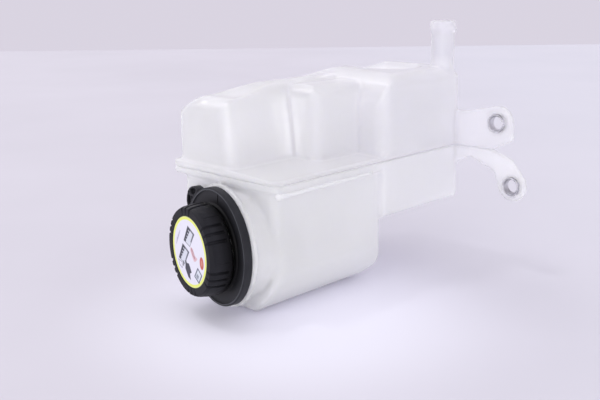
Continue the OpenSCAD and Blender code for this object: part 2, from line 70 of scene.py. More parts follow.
def turned(line, angle):
    """Surface swept round the neck's axis: the (radius, out) line at each angle, as (line, angle) rows and columns."""
    radius, out = line[:, 0][:, None], line[:, 1][:, None]
    return from_neck(radius * np.cos(angle), radius * np.sin(angle), out + 0 * angle)


def smooth(t):
    """Ease from 0 to 1 with level ends: t clipped, then 3t^2 - 2t^3."""
    t = np.clip(t, 0.0, 1.0)
    return t * t * (3 - 2 * t)


# ---------------------------------------------------------------- mesh making
def points_of(mesh):
    """The mesh's points as (count, 3) numbers in metres."""
    points = np.empty(len(mesh.vertices) * 3, dtype=np.float32)
    mesh.vertices.foreach_get("co", points)
    return points.reshape(-1, 3).astype(float)


def placed(name, mesh, body, slot, material, *nodes):
    """New piece from a mesh: it rides on a body, has one material and stands for the named CAD nodes."""
    mesh.materials.clear()
    mesh.materials.append(material)
    piece = bpy.data.objects.new(name, mesh)
    bpy.context.scene.collection.objects.link(piece)
    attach(piece, body)
    if nodes:
        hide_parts(*nodes)
    return piece


def merged_copy(node):
    """Copy of a CAD node's mesh with its doubled points merged."""
    mesh = NODES[node].data.copy()
    net = bmesh.new()
    net.from_mesh(mesh)
    bmesh.ops.remove_doubles(net, verts=net.verts, dist=1e-6)
    net.to_mesh(mesh)
    net.free()
    return mesh


def surface(name, points, body, slot, material, *nodes):
    """Closed quad net through a grid of points (rows, columns, 3) whose columns close into a ring; rows that meet
    in one point are merged there. Two indices, i along the line and j round the ring, number each quad."""
    rows, cols = points.shape[:2]
    i, j = np.meshgrid(np.arange(rows - 1), np.arange(cols), indexing="ij")
    k = (j + 1) % cols
    quads = np.stack([i * cols + j, i * cols + k, (i + 1) * cols + k, (i + 1) * cols + j], axis=-1).reshape(-1, 4)
    mesh = bpy.data.meshes.new(name)
    mesh.vertices.add(rows * cols)
    mesh.vertices.foreach_set("co", points.reshape(-1).astype(np.float32))
    mesh.loops.add(quads.size)
    mesh.loops.foreach_set("vertex_index", quads.reshape(-1).astype(np.int32))
    mesh.polygons.add(len(quads))
    mesh.polygons.foreach_set("loop_start", np.arange(0, quads.size, 4, dtype=np.int32))
    mesh.polygons.foreach_set("loop_total", np.full(len(quads), 4, dtype=np.int32))
    mesh.update()
    mesh.validate()
    net = bmesh.new()
    net.from_mesh(mesh)
    bmesh.ops.remove_doubles(net, verts=net.verts, dist=2e-6)
    bmesh.ops.dissolve_degenerate(net, edges=net.edges, dist=1e-7)
    bmesh.ops.recalc_face_normals(net, faces=net.faces)
    net.to_mesh(mesh)
    net.free()
    mesh.polygons.foreach_set("use_smooth", np.ones(len(mesh.polygons), dtype=bool))
    return placed(name, mesh, body, slot, material, *nodes)


# ---------------------------------------------------------------- materials
def new_material(name):
    """Empty node material with its Principled shader and output."""
    mat = bpy.data.materials.new(name)
    mat.use_nodes = True
    nodes = mat.node_tree.nodes
    return mat, nodes, mat.node_tree.links, nodes["Principled BSDF"]


def noise_of(nodes, links, coord, scale, detail=4.0, rough=0.55, distortion=0.0):
    """Noise texture on the piece's own coordinates."""
    tex = nodes.new("ShaderNodeTexNoise")
    tex.inputs["Scale"].default_value = scale
    tex.inputs["Detail"].default_value = detail
    tex.inputs["Roughness"].default_value = rough
    tex.inputs["Distortion"].default_value = distortion
    links.new(coord, tex.inputs["Vector"])
    return tex


def ranged(nodes, links, value, low, high, to_low, to_high):
    """Map a value from one range to another."""
    node = nodes.new("ShaderNodeMapRange")
    for socket, number in zip(("From Min", "From Max", "To Min", "To Max"), (low, high, to_low, to_high)):
        node.inputs[socket].default_value = number
    links.new(value, node.inputs["Value"])
    return node.outputs["Result"]


def blended(nodes, links, factor, first, second):
    """Colour mix of two colours or sockets by a factor socket."""
    node = nodes.new("ShaderNodeMix")
    node.data_type = "RGBA"
    links.new(factor, node.inputs["Factor"])
    for socket, value in (("A", first), ("B", second)):
        target = [s for s in node.inputs if s.name == socket and s.type == "RGBA"][0]
        if hasattr(value, "is_output"):
            links.new(value, target)
        else:
            target.default_value = (*value, 1.0)
    return [s for s in node.outputs if s.type == "RGBA"][0]


def bumped(nodes, links, shader, height, strength, distance):
    """Bump from a height socket into the shader's normal."""
    node = nodes.new("ShaderNodeBump")
    node.inputs["Strength"].default_value = strength
    node.inputs["Distance"].default_value = distance
    links.new(height, node.inputs["Height"])
    links.new(node.outputs["Normal"], shader.inputs["Normal"])


def reached_directly(nodes, links):
    """1 for rays from the camera, and for what shiny and clear surfaces show; 0 for the rest of the light."""
    path = nodes.new("ShaderNodeLightPath")
    first, either = nodes.new("ShaderNodeMath"), nodes.new("ShaderNodeMath")
    first.operation = either.operation = "MAXIMUM"
    links.new(path.outputs["Is Camera Ray"], first.inputs[0])
    links.new(path.outputs["Is Transmission Ray"], first.inputs[1])
    links.new(first.outputs["Value"], either.inputs[0])
    links.new(path.outputs["Is Glossy Ray"], either.inputs[1])
    return either.outputs["Value"]


def shader_mix(nodes, links, factor, first, second, target):
    """Mix of two shaders by a factor socket, linked into the output's surface."""
    mix = nodes.new("ShaderNodeMixShader")
    links.new(factor, mix.inputs["Fac"])
    links.new(first, mix.inputs[1])
    links.new(second, mix.inputs[2])
    links.new(mix.outputs["Shader"], nodes[target].inputs["Surface"])


def milky_shell(name, far_end_tone, clear, face_on, edge_on):
    """Unfilled translucent moulding: cloudy white with a lavender cast, see-through where looked at squarely, denser
    at
    edges, with faint flow marks under a thin glossy skin that reflects more at a glancing look. Painted light and
    shade:
    paler toward the neck end, darker on the hose spigot. far_end_tone and clear are its tones away from and at the
    neck end; face_on and edge_on are its cover at those looks."""
    mat, nodes, links, shader = new_material(name)
    coord = nodes.new("ShaderNodeTexCoord").outputs["Object"]
    cloud = noise_of(nodes, links, coord, 22.0, 3.0)
    flow = noise_of(nodes, links, coord, 9.0, 5.0, 0.6, 1.4)
    axes = nodes.new("ShaderNodeSeparateXYZ")
    links.new(coord, axes.inputs["Vector"])
    # Painted light: paler toward the neck end.
    toward_neck = ranged(nodes, links, axes.outputs["X"], 0.075, 0.0, 0.0, 1.0)
    drift = nodes.new("ShaderNodeMath")
    drift.operation = "ADD"
    drift.use_clamp = True
    links.new(toward_neck, drift.inputs[0])
    links.new(ranged(nodes, links, cloud.outputs["Fac"], 0.3, 0.7, -0.12, 0.12), drift.inputs[1])
    tint = blended(nodes, links, drift.outputs["Value"], far_end_tone, clear)
    # Painted shade: darker on the hose spigot, above 150 mm.
    tint = blended(nodes, links, ranged(nodes, links, axes.outputs["Z"], 0.150, 0.158, 0.0, 1.0),
                   tint, tuple(c * 0.86 for c in far_end_tone))
    links.new(tint, shader.inputs["Base Color"])
    shader.inputs["Roughness"].default_value = 0.4
    shader.inputs["Specular IOR Level"].default_value = 0.0
    facing = nodes.new("ShaderNodeLayerWeight")
    facing.inputs["Blend"].default_value = 0.35
    links.new(ranged(nodes, links, facing.outputs["Facing"], 0.0, 1.0, face_on, edge_on), shader.inputs["Alpha"])
    shader.inputs["Subsurface Weight"].default_value = 0.8
    shader.inputs["Subsurface Radius"].default_value = (1.0, 1.0, 1.1)
    shader.inputs["Subsurface Scale"].default_value = 0.012
    fine = noise_of(nodes, links, coord, 900.0, 2.0)
    bumped(nodes, links, shader, fine.outputs["Fac"], 0.12, 0.0004)
    skin = nodes.new("ShaderNodeBsdfGlossy")
    skin.inputs["Color"].default_value = (1.0, 1.0, 1.0, 1.0)
    links.new(ranged(nodes, links, flow.outputs["Fac"], 0.3, 0.7, 0.16, 0.24), skin.inputs["Roughness"])
    rim = nodes.new("ShaderNodeFresnel")
    rim.inputs["IOR"].default_value = 1.45
    shader_mix(nodes, links, ranged(nodes, links, rim.outputs["Fac"], 0.0, 1.0, 0.0, 0.6),
               shader.outputs["BSDF"], skin.outputs["BSDF"], "Material Output")
    return mat


def neck_place(nodes, links, coord, along, low, high):
    """Share from 0 to 1 by place: the way out along the neck's axis, or the distance from that axis."""
    rest = nodes.new("ShaderNodeVectorMath")
    rest.operation = "SUBTRACT"
    rest.inputs[1].default_value = (-BASE_X * MM, -BELLY_Y * MM, NECK_Z * MM)
    links.new(coord, rest.inputs[0])
    axial = nodes.new("ShaderNodeVectorMath")
    axial.operation = "DOT_PRODUCT" if along else "CROSS_PRODUCT"
    axial.inputs[1].default_value = (-math.cos(NECK_YAW), math.sin(NECK_YAW), 0.0)
    links.new(rest.outputs["Vector"], axial.inputs[0])
    if along:
        return ranged(nodes, links, axial.outputs["Value"], low, high, 0.0, 1.0)
    size = nodes.new("ShaderNodeVectorMath")
    size.operation = "LENGTH"
    links.new(axial.outputs["Vector"], size.inputs[0])
    return ranged(nodes, links, size.outputs["Value"], low, high, 0.0, 1.0)


def grained_black(name, colour, rough_low, rough_high, grain=1500.0, strength=0.25, place=(True, 0.0, 0.001)):
    """Black glass-filled moulding: fine spark grain and uneven satin sheen, with painted shade: darker toward the
    recess between knob and collar, where the knob's shadow falls. place says where that shade ends, as neck_place
    takes it."""
    mat, nodes, links, shader = new_material(name)
    coord = nodes.new("ShaderNodeTexCoord").outputs["Object"]
    cloud = noise_of(nodes, links, coord, 60.0, 5.0)
    tint = blended(nodes, links, ranged(nodes, links, cloud.outputs["Fac"], 0.35, 0.7, 0.0, 1.0),
                   colour, tuple(c * 1.35 + 0.003 for c in colour))
    # Painted shade: near-black toward the recess between knob and collar.
    tint = blended(nodes, links, neck_place(nodes, links, coord, *place), (0.0015, 0.0015, 0.002), tint)
    links.new(tint, shader.inputs["Base Color"])
    links.new(ranged(nodes, links, cloud.outputs["Fac"], 0.3, 0.7, rough_low, rough_high), shader.inputs["Roughness"])
    shader.inputs["Specular IOR Level"].default_value = 0.13
    fine = noise_of(nodes, links, coord, grain, 2.0)
    bumped(nodes, links, shader, fine.outputs["Fac"], strength, 0.0002)
    return mat


def plated_steel(name, colour, rough, patch, dark):
    """Zinc-plated steel: soft streaks and small stains in colour and sheen."""
    mat, nodes, links, shader = new_material(name)
    coord = nodes.new("ShaderNodeTexCoord").outputs["Object"]
    stain = noise_of(nodes, links, coord, patch, 4.0)
    tint = blended(nodes, links, ranged(nodes, links, stain.outputs["Fac"], 0.35, 0.7, 0.0, 1.0),
                   colour, tuple(c * dark for c in colour))
    links.new(tint, shader.inputs["Base Color"])
    shader.inputs["Metallic"].default_value = 1.0
    links.new(ranged(nodes, links, stain.outputs["Fac"], 0.3, 0.7, rough, rough + 0.16), shader.inputs["Roughness"])
    fine = noise_of(nodes, links, coord, 2400.0, 2.0)
    bumped(nodes, links, shader, fine.outputs["Fac"], 0.15, 0.0001)
    return mat


def plain_moulding(name, colour, rough):
    """Smooth engineering plastic with a faint mottle."""
    mat, nodes, links, shader = new_material(name)
    coord = nodes.new("ShaderNodeTexCoord").outputs["Object"]
    mottle = noise_of(nodes, links, coord, 140.0, 4.0)
    tint = blended(nodes, links, mottle.outputs["Fac"], colour, tuple(min(1.0, c * 1.15 + 0.003) for c in colour))
    links.new(tint, shader.inputs["Base Color"])
    links.new(ranged(nodes, links, mottle.outputs["Fac"], 0.3, 0.7, rough, rough + 0.12), shader.inputs["Roughness"])
    bumped(nodes, links, shader, mottle.outputs["Fac"], 0.1, 0.0002)
    return mat


def printed_film():
    """Satin label film: print colours from the piece's own point colours, with faint scuffs in tone and sheen."""
    mat, nodes, links, shader = new_material("printed label film")
    coord = nodes.new("ShaderNodeTexCoord").outputs["Object"]
    paint = nodes.new("ShaderNodeAttribute")
    paint.attribute_name = "print"
    scuff = noise_of(nodes, links, coord, 260.0, 5.0)
    worn = blended(nodes, links, ranged(nodes, links, scuff.outputs["Fac"], 0.62, 0.75, 0.0, 0.10),
                   paint.outputs["Color"], (0.5, 0.5, 0.5))
    links.new(worn, shader.inputs["Base Color"])
    links.new(ranged(nodes, links, scuff.outputs["Fac"], 0.3, 0.7, 0.34, 0.46), shader.inputs["Roughness"])
    bumped(nodes, links, shader, scuff.outputs["Fac"], 0.08, 0.0001)
    return mat


def dress(node, material):
    """Give a CAD node its finish through its object's material slots."""
    piece = NODES[node]
    if not piece.data.materials:
        piece.data.materials.append(material)
    for slot in piece.material_slots:
        slot.link = "OBJECT"
        slot.material = material


# Lit copy: the lower half's material is denser than the upper half's, to lift the shade seen through the lower
# chamber.
MILKY = milky_shell("milky shell, lower half", (0.900, 0.884, 0.968), (0.965, 0.958, 1.000), 0.47, 0.60)
MILKY_UPPER = milky_shell("milky shell, upper half", (0.890, 0.872, 0.950), (0.985, 0.975, 1.000), 0.33, 0.48)
# Painted shade on the knob's rear, up to 28.5 mm out along the neck.
BLACK = grained_black("grained black grip", (0.0115, 0.0115, 0.0150), 0.40, 0.54,
                      place=(True, 0.0195, 0.0285))
# Painted shade on the collar's face round the hub, out to 35 mm from the neck's axis.
COLLAR_BLACK = grained_black("grained black collar", (0.0190, 0.0190, 0.0230), 0.40, 0.52, 1100.0, 0.35,
                             (False, 0.0285, 0.0350))
# Painted highlight: paler black for the strip along the collar rim's front edge.
EDGE_HIGHLIGHT = grained_black("black edge with painted highlight", (0.060, 0.062, 0.072), 0.34, 0.44, 1100.0, 0.2)
HOUSING = plain_moulding("dark valve moulding", (0.025, 0.025, 0.028), 0.4)
VALVE = plain_moulding("pale valve moulding", (0.72, 0.71, 0.67), 0.4)
RUBBER = plain_moulding("seal rubber", (0.012, 0.012, 0.012), 0.7)
STEEL = plated_steel("zinc plated steel", (0.86, 0.86, 0.89), 0.24, 110.0, 0.42)
WIRE = plated_steel("bright spring wire", (0.70, 0.70, 0.72), 0.2, 180.0, 0.72)
LABEL = printed_film()

FINISHES = {
    "tank_lower": MILKY, "tank_upper": MILKY_UPPER, "sleeve_upper": STEEL, "sleeve_lower": STEEL,
    "collar": COLLAR_BLACK, "knob": BLACK, "label_disc": LABEL, "screw_body": BLACK, "housing_clip": STEEL,
    "valve_housing": HOUSING, "neck_gasket": RUBBER, "ring_outer": RUBBER, "ring_inner": RUBBER,
    "pressure_disc": VALVE, "pressure_seal": RUBBER, "pressure_spring": WIRE, "spring_retainer": HOUSING,
    "vacuum_stem": VALVE, "vacuum_seal": RUBBER, "vacuum_spring": WIRE, "vacuum_washer": STEEL,
    "valve_cage": HOUSING,
}
for node, finish in FINISHES.items():
    dress(node, finish)


# ---------------------------------------------------------------- milky shell
def neighbour_mean(points, edges, count):
    """Mean place of the points joined to each point."""
    ends = np.concatenate([edges[:, 0], edges[:, 1]])
    others = points[np.concatenate([edges[:, 1], edges[:, 0]])]
    total = np.stack([np.bincount(ends, weights=others[:, k], minlength=len(points)) for k in range(3)], axis=-1)
    return total / count[:, None]


def moulded(node, name, voxel, rounds, slot, material):
    """Soft-edged moulding over a CAD solid: its copy is merged and rebuilt as an even net, then low-pass relaxed:
    each round moves a point 0.55 of the way to its neighbours' mean and then 0.57 of the way back,
    which gives every edge a small moulded radius and keeps the walls' thickness."""
    rough = bpy.data.objects.new(name + " rough", merged_copy(node))
    bpy.context.scene.collection.objects.link(rough)
    even = rough.modifiers.new("even net", "REMESH")
    even.mode = "VOXEL"
    even.voxel_size = voxel
    even.use_smooth_shade = True
    graph = bpy.context.evaluated_depsgraph_get()
    soft = bpy.data.meshes.new_from_object(rough.evaluated_get(graph))
    bpy.data.objects.remove(rough)
    points = points_of(soft)
    edges = np.empty(len(soft.edges) * 2, dtype=np.int32)
    soft.edges.foreach_get("vertices", edges)
    edges = edges.reshape(-1, 2)
    count = np.bincount(edges.reshape(-1), minlength=len(points)).astype(float)
    for _ in range(rounds):
        for pull in (0.55, -0.57):
            points += pull * (neighbour_mean(points, edges, count) - points)
    soft.vertices.foreach_set("co", points.reshape(-1).astype(np.float32))
    soft.name = name
    soft.update()
    placed(name, soft, "tank", slot, material, node)


moulded("tank_lower", "lower_shell", 0.00125, 30, "milky_plastic", MILKY)
moulded("tank_upper", "upper_shell", 0.00118, 24, "milky_plastic", MILKY_UPPER)
moulded("collar", "collar_disc", 0.00048, 4, "black_plastic", COLLAR_BLACK)


# ---------------------------------------------------------------- valve springs
def sprung_coil(node, name, body):
    """Round wire over a CAD spring, merged and smooth."""
    mesh = merged_copy(node)
    mesh.polygons.foreach_set("use_smooth", np.ones(len(mesh.polygons), dtype=bool))
    piece = placed(name, mesh, body, "spring_steel", WIRE, node)
    points = points_of(mesh)
    outward = (from_neck(0, 0, 1) - from_neck(0, 0, 0)) / MM
    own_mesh(piece)


sprung_coil("pressure_spring", "pressure_coil", "cap_insert")
sprung_coil("vacuum_spring", "vacuum_coil", "pressure_valve")


# ---------------------------------------------------------------- cap, collar and label
def filleted(corners, steps=7):
    """Line through (radius, height, fillet) corners; a fillet is the arc that touches both legs."""
    flat = np.array([c[:2] for c in corners], dtype=float)
    line = [flat[:1]]
    for k in range(1, len(corners) - 1):
        here, size = flat[k], corners[k][2]
        if size <= 0:
            line.append(here[None])
            continue
        u = flat[k - 1] - here
        v = flat[k + 1] - here
        u, v = u / np.linalg.norm(u), v / np.linalg.norm(v)
        half = math.acos(np.clip(np.dot(u, v), -1, 1)) / 2
        centre = here + (u + v) / np.linalg.norm(u + v) * size / math.sin(half)
        start, stop = here + u * size / math.tan(half) - centre, here + v * size / math.tan(half) - centre
        t = np.linspace(0, 1, steps)[:, None]
        way = start * (1 - t) + stop * t
        line.append(centre + way / np.linalg.norm(way, axis=1, keepdims=True) * size)
    line.append(flat[-1:])
    return np.concatenate(line)


def even_line(line, steps):
    """Points along a line, each leg cut into parts no longer than its step; corners kept."""
    parts = [line[:1]]
    for a, b, step in zip(line[:-1], line[1:], steps):
        n = max(1, int(math.ceil(np.linalg.norm(b - a) / step)))
        parts.append(a + (b - a) * np.linspace(0, 1, n + 1)[1:, None])
    return np.concatenate(parts)


GRIP_TURN, GRIP_STEP = math.radians(5), math.radians(10.4)
FINE_LINE = 0.26  # half width of a parting line


def grip(angle, out):
    """Shares of the channels and of the fine parting lines at a place on the grip: six groups of three channels
    10.4 degrees apart and 2 mm wide with soft sides, from behind the skirt's edge through the front lip,
    and a fine line 23 degrees after each group's middle."""
    group = (angle - GRIP_TURN + math.pi / 6) % (math.pi / 3) - math.pi / 6
    across = np.abs(group - np.clip(np.round(group / GRIP_STEP), -1, 1) * GRIP_STEP) * GRIP_R
    channel = (1 - smooth((across - 0.72) / 0.42)) * smooth((out - 20.3) / 1.1)
    fine = np.exp(-((group - math.radians(23)) * GRIP_R / FINE_LINE) ** 2)
    tail = np.exp(-((np.abs(group) - GRIP_STEP) * GRIP_R / FINE_LINE) ** 2) * (1 - smooth((out - 20.6) / 0.8))
    return channel, (fine * smooth((out - 19.6) / 0.4) * (1 - smooth((out - 30.4) / 0.6)) + tail)


def cap_knob():
    """Knob turned round the neck axis: filleted profile swept full circle. The channels take the radius down to
    28.4 mm, and to 27.7 mm at the lip, the fine lines by 0.4 mm."""
    line = filleted([
        (0, 32.7, 0), (23.55, 32.7, 0.15), (23.55, 33.6, 0.1), (23.8, 33.8, 0.15), (28.3, 33.8, 0.35),
        (28.75, 33.1, 0.45), (29.4, 31.6, 1.2), (30.2, 26.0, 6.0), (30.2, 19.1, 0.5), (29.7, 18.4, 0.3),
        (27.1, 18.4, 0.3), (27.05, 29.6, 0.2), (8.3, 29.6, 0.2), (8.3, 31.0, 0.2), (0, 31.0, 0)])
    line = even_line(line, np.where((line[:-1, 0] > 27.6) & (line[1:, 0] > 27.6), 0.42, 8.0))
    angle = np.linspace(0, FULL_TURN, 744, endpoint=False)
    radius, out = line[:, 0][:, None], line[:, 1][:, None]
    channel, fine = grip(angle[None], out)
    skin = smooth((radius - 27.7) / 0.3)
    bottom = 28.4 - 0.7 * smooth((out - 29.0) / 4.0)
    r = radius - skin * (channel * np.maximum(radius - bottom, 0) + 0.4 * fine)
    front = out - skin * channel * 0.5 * smooth((out - 33.0) / 0.7)
    points = from_neck(r * np.cos(angle), r * np.sin(angle), front)
    surface("knob_shell", points, "cap_knob", "black_plastic", BLACK, "knob")


def near_edge(up, side, corners):
    """Signed distance to an outline through (up, side) corners, in millimetres, negative inside."""
    c = np.array(corners, dtype=float)
    far = np.full(up.shape, 1e9)
    inside = np.zeros(up.shape, dtype=bool)
    for a, b in zip(c, np.roll(c, -1, axis=0)):
        leg = b - a
        t = np.clip(((up - a[0]) * leg[0] + (side - a[1]) * leg[1]) / (leg @ leg), 0, 1)
        far = np.minimum(far, np.hypot(up - a[0] - t * leg[0], side - a[1] - t * leg[1]))
        crosses = (a[0] > up) != (b[0] > up)
        inside ^= crosses & (side < a[1] + (up - a[0]) / (leg[0] if leg[0] else 1e-9) * leg[1])
    return np.where(inside, -far, far)


def label_print(up, side):
    """Colours of the label by place in millimetres: lime edge ring, pale field, two dark comb blocks with grey
    frames, a dark blot, small red and rose fields, a blue-grey frame and four grey bars. lay covers what lies
    within an outline, and each edge softens over 0.24 mm."""
    radius = np.hypot(up, side)
    colour = np.zeros(up.shape + (3,)) + (0.71, 0.69, 0.80)

    def lay(distance, tone, amount=1.0):
        share = (np.clip(0.5 - distance / 0.24, 0, 1) * amount)[..., None]
        colour[:] = colour * (1 - share) + np.array(tone) * share

    lay(21.1 - radius, (0.80, 0.84, 0.42))
    lay(np.abs(radius - 22.0) - 0.85, (0.74, 0.77, 0.15))
    lay(23.1 - radius, (0.10, 0.11, 0.03))
    ink, grey = (0.030, 0.030, 0.050), (0.16, 0.17, 0.21)
    for tall, wide in ((0.0, 0.0), (-13.6, 8.1)):
        block = [(17.1 + tall, 0.8 + wide), (6.4 + tall, 7.0 + wide), (4.0 + tall, -1.0 + wide),
                 (13.5 + tall, -7.7 + wide)]
        lay(near_edge(up, side, block), (0.50, 0.54, 0.62), 0.45)
        lay(np.abs(near_edge(up, side, block)) - 0.30, grey, 0.85)
        right, heavy = np.array(block[3]), (0.055, 0.060, 0.095)
        for end, inward in ((block[0], np.array([-0.92, 0.39])), (block[2], np.array([0.58, 0.82]))):
            stop = right + (np.array(end) - right) * 0.7
            lay(near_edge(up, side, [right, stop, stop + inward, right + inward * 1.3]), heavy, 0.9)
        a, b = np.array(block[0]), np.array(block[1])
        along, inward = (b - a) / np.linalg.norm(b - a), np.array([-0.42, -0.91])
        for k in range(5):
            start = a + along * (k * 2.5)
            depth = 3.9 - 0.35 * k
            tooth = [start, start + along * 1.75, start + along * 1.75 + inward * depth, start + inward * depth]
            lay(near_edge(up, side, tooth), ink)
        lay(near_edge(up, side, [a, b, b + inward * 1.7, a + inward * 1.7]), ink)
    blot = [(-8.6, 6.0), (-12.5, 6.6), (-17.4, 2.8), (-18.6, -0.6), (-14.4, 0.2), (-13.2, -2.2), (-9.8, -0.2),
            (-7.9, 1.3)]
    lay(near_edge(up, side, [(-6.2, 5.4), (-7.6, 7.2), (-10.4, 4.4), (-9.0, 3.0)]), ink, 0.8)
    lay(near_edge(up, side, blot), ink)
    lay(np.abs(near_edge(up, side, [(-8.6, 16.0), (-9.5, 11.0), (-13.4, 11.1), (-12.0, 14.6)])) - 0.25, ink, 0.8)
    lay(near_edge(up, side, [(-7.6, 9.4), (-8.8, 7.6), (-12.0, 8.4), (-11.0, 10.2)]), ink, 0.75)
    rose = [(4.3, -2.2), (1.6, -1.6), (-4.6, -6.1), (-4.0, -8.6), (-1.7, -11.0), (-0.4, -7.4), (3.4, -5.0)]
    lay(near_edge(up, side, rose), (0.62, 0.30, 0.33), 0.7)
    rose_line = [(3.4, -3.0), (-0.6, -4.6), (-2.6, -7.6), (1.2, -5.8)]
    lay(np.abs(near_edge(up, side, rose_line)) - 0.3, (0.24, 0.10, 0.12), 0.8)
    lay(np.hypot((up + 3.2) / 1.6, side + 16.6) - 2.6, (0.50, 0.085, 0.060))
    lay(np.hypot((up + 3.2) / 1.7, side + 16.6) - 1.2, (0.60, 0.26, 0.20), 0.8)
    frame_box = [(-8.0, -11.0), (-14.4, -6.4), (-17.4, -11.9), (-11.4, -16.0)]
    lay(near_edge(up, side, frame_box), (0.60, 0.63, 0.72), 0.8)
    lay(np.abs(near_edge(up, side, frame_box)) - 0.5, (0.075, 0.085, 0.14))
    lay(near_edge(up, side, [(-11.6, -9.6), (-14.2, -8.2), (-15.4, -10.8), (-12.8, -12.4)]), (0.10, 0.12, 0.17), 0.7)
    for k in range(4):
        a = np.array((11.6 - 1.9 * k, 11.6 + 1.5 * k))
        b = np.array((6.6 - 1.9 * k, 14.4 + 1.1 * k))
        lay(near_edge(up, side, [a, b, b + (0.5, 0.75), a + (0.5, 0.75)]), (0.40, 0.37, 0.49), 0.8)
    return colour


def label_face():
    """Printed label: thin disc turned round the neck axis with its colours from label_print in a point attribute."""
    line = np.array([(r, 33.5) for r in np.linspace(0, 23.25, 96)] + [(23.5, 33.3), (23.5, 32.72), (0, 32.72)])
    angle = np.linspace(0, FULL_TURN, 480, endpoint=False)
    piece = surface("label_face", turned(line, angle), "cap_knob", "label_film", LABEL, "label_disc")
    place = points_of(piece.data) / MM + (BASE_X, BELLY_Y, -NECK_Z)
    side = place[:, 0] * math.sin(NECK_YAW) + place[:, 1] * math.cos(NECK_YAW)
    tone = np.ones((len(place), 4), dtype=np.float32)
    tone[:, :3] = label_print(place[:, 2], side)
    paint = piece.data.color_attributes.new("print", "FLOAT_COLOR", "POINT")
    paint.data.foreach_set("color", tone.reshape(-1))


def ear_sleeve(name, node, y, z):
    """Steel sleeve turned round a line along X: tube of 13 and 10 mm with broken edges and faintly wider at the
    middle inside."""
    line = even_line(filleted([(5.65, 0, 0), (6.3, 0, 0.1), (6.5, 0.2, 0.1), (6.5, 6.4, 0.1), (6.3, 6.6, 0.1),
                               (5.65, 6.6, 0.1), (5.0, 5.6, 0.4), (5.05, 3.3, 2.0), (5.0, 1.0, 0.4), (5.65, 0, 0)]),
                     np.full(200, 0.5))
    angle = np.linspace(0, FULL_TURN, 96, endpoint=False)
    radius, along = line[:, 0][:, None], line[:, 1][:, None]
    points = np.stack([along + SLEEVE_X + 0 * angle, radius * np.cos(angle) + y, radius * np.sin(angle) + z], axis=-1)
    surface(name, points * MM, "tank", "steel", STEEL, node)


def bead(name, path, radius, slot, material):
    """Round bead along a straight path on the tank, in metres: rings of the given radii in millimetres square to
    the path. The ring's axes are the cross products of the path's way with the upright, or with Y if it stands."""
    path = np.asarray(path, dtype=float)
    radius = np.asarray(radius, dtype=float)
    way = (path[-1] - path[0]) / np.linalg.norm(path[-1] - path[0])
    across = np.cross(way, (0.0, 0.0, 1.0)) if abs(way[2]) < 0.9 else np.cross(way, (0.0, 1.0, 0.0))
    across /= np.linalg.norm(across)
    above = np.cross(across, way)
    angle = np.linspace(0, FULL_TURN, 20, endpoint=False)[None, :, None]
    ring = np.cos(angle) * across + np.sin(angle) * above
    surface(name, path[:, None] + ring * radius[:, None, None] * MM, "tank", slot, material)


def drip_bead():
    """Rounded bead along the lip under the seam's near edge, thicker at its left end, with a knob at each end."""
    t = np.linspace(0, 1, 160)
    path = np.stack([-5 + 92.5 * t - BASE_X, 0 * t + SEAM_SIDE_Y - BELLY_Y, SEAM_LIP_Z + 0.5 * t], axis=-1) * MM
    ends = 0.8 * np.exp(-((t - 0.02) / 0.015) ** 2) + 0.4 * np.exp(-((t - 0.985) / 0.01) ** 2)
    close = np.sqrt(np.clip(1 - (np.abs(t - 0.5) / 0.5) ** 60, 0, 1))
    bead("drip_bead", path, (1.5 - 0.5 * t + ends) * close, "milky_plastic", MILKY)


def collar_rim():
    """Crisp raised rim of the collar with a paler strip along its front edge, a painted highlight, and the short
    parting ridge on the collar's face.
    """
    angle = np.linspace(0, FULL_TURN, 360, endpoint=False)
    for name, corners, finish in (
            ("collar_rim", [(37.0, 14.2, 0), (37.25, 15.2, 0.25), (38.75, 15.25, 0.25), (39.06, 14.7, 0.3),
                            (39.06, 10.2, 0.3), (38.4, 9.66, 0.2), (37.6, 10.6, 0.2), (37.0, 14.2, 0)], COLLAR_BLACK),
            ("collar_rim_edge", [(37.30, 15.1, 0), (37.45, 15.36, 0.12), (38.05, 15.38, 0.12), (38.3, 15.1, 0.1),
                                 (37.30, 15.1, 0)], EDGE_HIGHLIGHT)):
        line = even_line(filleted(corners, 5), np.full(200, 0.8))
        surface(name, turned(line, angle), "tank", "black_plastic", finish)
    t = np.linspace(0, 1, 40)
    turn = math.radians(8)
    way_out = HUB_R + 6.6 * t
    ridge = from_neck(way_out * math.cos(turn), -way_out * math.sin(turn), COLLAR_FACE)
    # Painted shade: the ridge takes the grip's material, whose painted shade makes it near-black here.
    bead("parting_ridge", ridge, 0.34 * np.sin(math.pi * t) ** 0.35, "black_plastic", BLACK)


cap_knob()
label_face()
drip_bead()
collar_rim()
ear_sleeve("upper_sleeve_tube", "sleeve_upper", -83.3, 109.8)
ear_sleeve("lower_sleeve_tube", "sleeve_lower", -97.9, 65.0)


# ---------------------------------------------------------------- camera
def photo_camera():
    """Camera at the photograph's place: turned 45.6 degrees, looking down 14.4 degrees, rolled -0.6 degrees."""
    turn, tilt, roll = math.radians(45.6), math.radians(14.4), math.radians(-0.6)
    right = np.array([math.cos(turn), -math.sin(turn), 0.0])
    ahead = np.array([math.sin(turn) * math.cos(tilt), math.cos(turn) * math.cos(tilt), -math.sin(tilt)])
    down = np.cross(ahead, right)
    c, s = math.cos(roll), math.sin(roll)
    right, down = c * right - s * down, s * right + c * down
    camera = bpy.data.objects.new("photo camera", bpy.data.cameras.new("photo camera"))
    camera.data.lens = 54.0
    camera.data.clip_start, camera.data.clip_end = 0.01, 60.0
    axes = np.column_stack([right, -down, -ahead])
    place = Matrix(axes.tolist()).to_4x4()
    place.translation = (-0.4293, -0.4331, 0.2199)
    camera.matrix_world = place
    bpy.context.scene.collection.objects.link(camera)
    bpy.context.scene.camera = camera


